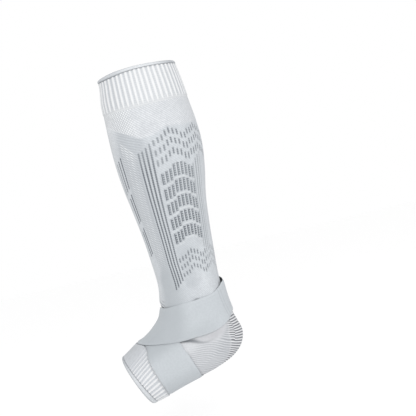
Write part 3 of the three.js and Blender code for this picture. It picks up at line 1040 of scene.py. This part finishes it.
def strap_profile():
    """Shares across the band and heights over its under side, once round its profile."""
    face = (1 - np.cos(np.pi * np.linspace(0, 1, FACE_COLUMNS))) / 2
    to_edge = np.minimum(face, 1 - face) * STRAP_WIDTH
    top = STRAP_THICKNESS * (0.4 + 0.6 * ease(0, 3.0, to_edge))
    share = np.concatenate([face, np.linspace(1, 0, UNDER_COLUMNS)])
    pressed = 0.35 * ease(6, 0, np.minimum(share, 1 - share) * STRAP_WIDTH)
    return share, np.concatenate([top, np.zeros(UNDER_COLUMNS)]) - pressed


PROFILE_SHARE, PROFILE_HEIGHT = strap_profile()
print("strap profile has", len(PROFILE_SHARE), "points")

# %% The elastic strap
# How far the upper edge shifts, in sections, at so many degrees past the tendon: low, then high
BACK_SHIFT = ((-60, 0), (-48, 0.03), (-34, 0.07), (-26, 0.115), (-14, 0.11), (-6, 0.115), (0, 0.09),
              (5, 0.03), (10, -0.03), (14, -0.1), (18, -0.155), (26, -0.16), (44, 0))
STEP_LENGTH = 1.55


def place_strap(column, row):
    share = PROFILE_SHARE[column]
    path = [values[row] for values in STRAP_PATH]
    pass_row, mirror, crossing, raised = path
    before_instep, under_sole = pass_row < 9, pass_row > 14
    station, angle, height = band_point(path, share, PROFILE_HEIGHT[column])
    side = np.abs(angle)
    at_top = (1 - share) ** 2
    past_back = np.where((raised == 0) & (pass_row < 4.5), mirror * (side - 180), -90)
    station += look_up(BACK_SHIFT, past_back) * at_top
    pucker = bell(side, 98, 4) * ease(0.14, 0, share)
    sunk = 0.4 * hump(side, 38, 48, 84, 92) * before_instep * ease(0.12, 0, share)
    drawn = 1.7 * hump(past_back, 0, 14, 24, 44) * at_top
    # Painted shade on the strap: over the front, near its lower edge where it crosses, and towards the sole
    low_edge = ease(0.45, 0.9, share) * ease(125, 95, side)
    pulled = ease(85, 60, side) * (0.55 + 0.45 * ease(15, 45, side))
    pulled += 0.45 * low_edge * (crossing > 0) * before_instep
    pulled += 0.35 * ease(100, 135, side) * under_sole
    # under marks the under side, which the material paints dark as the shade it lies in
    marks = {"across": share * STRAP_WIDTH, "along": row * STEP_LENGTH, "pulled": np.minimum(pulled, 1),
             "pass_row": np.where(crossing > 0, pass_row, -5.0), "under": 1.0 * (column >= FACE_COLUMNS)}
    return skin(station, angle, height + pucker - sunk - drawn), marks


strap_rows = len(STRAP_PATH[0]) - 1
strap_band = roll_grid("strap_band", len(PROFILE_SHARE), strap_rows, place_strap, closed_rows=False)

# %% The elastic's material
elastic, elastic_shade = start_fabric("elastic")
across = elastic_shade.mark("across")
pass_row = elastic_shade.mark("pass_row")
to_edge = STRAP_WIDTH / 2 - abs(across - STRAP_WIDTH / 2)
cords = (across / 1.25).wave()
half_cord = (across / 2.5).past_whole()
picks = (elastic_shade.mark("along") / 1.1 + half_cord.math("ROUND", half_cord) * 0.5).wave()
weave = cords * 0.6 + picks * 0.4
hem_highlight = 1 - abs(to_edge - 1.6).between(0.8, 1.6)
bent = (1 - abs(pass_row - 2.2).between(0.02, 0.07)).most(1 - abs(pass_row - 2.45).between(0.02, 0.07))
strap_colour = elastic_shade.coats(
    tint(182, 187, 191),
    (weave * 0.3, (200, 204, 208)),
    (elastic_shade.grain() * 0.25, (166, 171, 175)),
    # Painted highlight along the hem
    (hem_highlight * 0.08, (212, 216, 219)),
    # Painted shade on the strap
    (elastic_shade.mark("pulled") * 0.8, (166, 171, 175)),
    (bent * 0.3, (150, 155, 160)),
    (elastic_shade.cloud(0.03) * 0.15, (164, 169, 174)),
    # Painted shade: the strap's under side is painted dark
    (elastic_shade.mark("under"), (66, 68, 72)),
)
finish_fabric(elastic, elastic_shade, strap_colour, weave * 0.6 - bent * 0.6, 0.0002, strap_band)

# %% [markdown]
# ## The toe cuff
#
# The toe cuff is the same rib knit as the cuff at the calf. Its ribs start at the edge of the strap, so the
# strap's own table says where each one begins.

# %% The cuff at the toes
TOE_TWIST = 4.3

# The angle of a few ribs on each side and their numbers, as for the cuff at the calf
TOE_RIBS = ((0, -6.1), (45.8, 0), (67, 3), (86.5, 6), (105.2, 9), (134, 12), (146.5, 13), (180, 17),
            (200, 19.4))


def strap_covers(angle):
    """The last section that the strap covers at each angle, on either of its two ways."""
    rows = smooth_rows(STRAP_PASS, np.linspace(0, LAST_ROW, 400))
    turned = np.argsort(rows[:, 0])
    angles, lower = rows[turned, 0], rows[turned, 2]
    return np.maximum(np.interp(angle, angles, lower), np.interp(-angle, angles, lower))


def toe_form(angle, share, outside):
    side = np.abs(angle)
    bottom = toe_end(angle)
    station = toe_top(angle) + share * (bottom - toe_top(angle))
    edge = strap_covers(angle)
    strength = ease(edge + 0.02, edge + 0.2, station)
    turn = side + TOE_TWIST * (20 - station)
    crest = rib_crest(turn, TOE_RIBS, strength) * outside * (0.2 + 0.8 * ease(40, 72, turn))
    to_rim = np.clip((bottom - station) / (bottom - edge), 0, 1)
    pushed = (0.8 + 2.8 * to_rim) * ease(edge - 0.02, edge + 0.12, station)
    pushed *= ease(60, 20, side) + 0.35 * ease(105, 150, side)
    # Painted shadow where the ribs run under the strap and under the toe welt
    sewn = np.maximum(0.55 * ease(edge + 0.24, edge + 0.12, station),
                      0.4 * ease(bottom - 0.12, bottom - 0.02, station))
    marks = {"crest": crest * (0.68 + 0.27 * ease(60, 120, turn)), "course": length_down(station),
             "strength": strength, "sewn": sewn,
             # Painted shade in the valleys at the front and back of the toe
             "turned": 0.3 * strength * np.abs(np.cos(np.radians(angle))) ** 1.5}
    return station, angle, RIB_HEIGHT * crest + pushed, marks


toe_band = roll_wall("toe_band", 520, 72, 4, toe_form)
toe_band.data.materials.append(rib_knit)

# %% [markdown]
# ## The closure patch
#
# The strap's end is held on the far side by a patch of hook tape between its two layers. Only its rim can
# be seen, so it is one plain padded strip with rounded edges and a field of small hooks in its relief.

# %% The hook patch
PATCH_EDGES = (0.16, 0.84)
PATCH_FACE = np.linspace(*PATCH_EDGES, 22)
PATCH_ROWS = 25
PATCH_STEP = 0.9
HOOK_PITCH = 1.4
PATCH_PATH = (np.linspace(3.6, 2.5, PATCH_ROWS + 1), -np.ones(PATCH_ROWS + 1), np.zeros(PATCH_ROWS + 1),
              np.full(PATCH_ROWS + 1, STRAP_THICKNESS + LAYER_GAP))


def place_patch(column, row):
    share = np.concatenate([PATCH_FACE, PATCH_FACE[::-1]])[column]
    rim = np.minimum(share - PATCH_EDGES[0], PATCH_EDGES[1] - share) * STRAP_WIDTH
    thick = PATCH_THICKNESS * (0.4 + 0.6 * ease(0, 1.0, rim))
    path = [values[row] for values in PATCH_PATH]
    station, angle, height = band_point(path, share, np.where(column < len(PATCH_FACE), thick, 0.0))
    return skin(station, angle, height), {"across": share * STRAP_WIDTH, "along": row * PATCH_STEP}


hook_strip = roll_grid("hook_strip", 2 * len(PATCH_FACE), PATCH_ROWS, place_patch, closed_rows=False)
hook_tape, hook_shade = start_fabric("hook_tape")
hooks = (hook_shade.mark("across") / HOOK_PITCH).wave() * (hook_shade.mark("along") / HOOK_PITCH).wave()
hook_colour = hook_shade.coats(tint(150, 154, 160), (hooks, (186, 190, 195)))
finish_fabric(hook_tape, hook_shade, hook_colour, hooks, 0.0003, hook_strip)

# %% [markdown]
# ## Joining the pieces to the frame
#
# Each piece stands for one CAD solid, which stays for the physics but is hidden here.

# %% Ride and replace
PIECES = (
    (top_roll, "top_welt", "welt"),
    (rib_band, "rib_cuff", "rib_knit"),
    (leg_tube, "leg_sleeve", "leg_knit"),
    (heel_cup, "heel_pocket", "heel_knit"),
    (toe_band, "toe_cuff", "rib_knit"),
    (toe_roll, "toe_welt", "welt"),
    (strap_band, "ankle_strap", "elastic"),
    (hook_strip, "hook_patch", "hook_tape"),
)
for piece, node, slot in PIECES:
    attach(piece, "root")
    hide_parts(node)

print(len(PIECES), "pieces ride on the root")
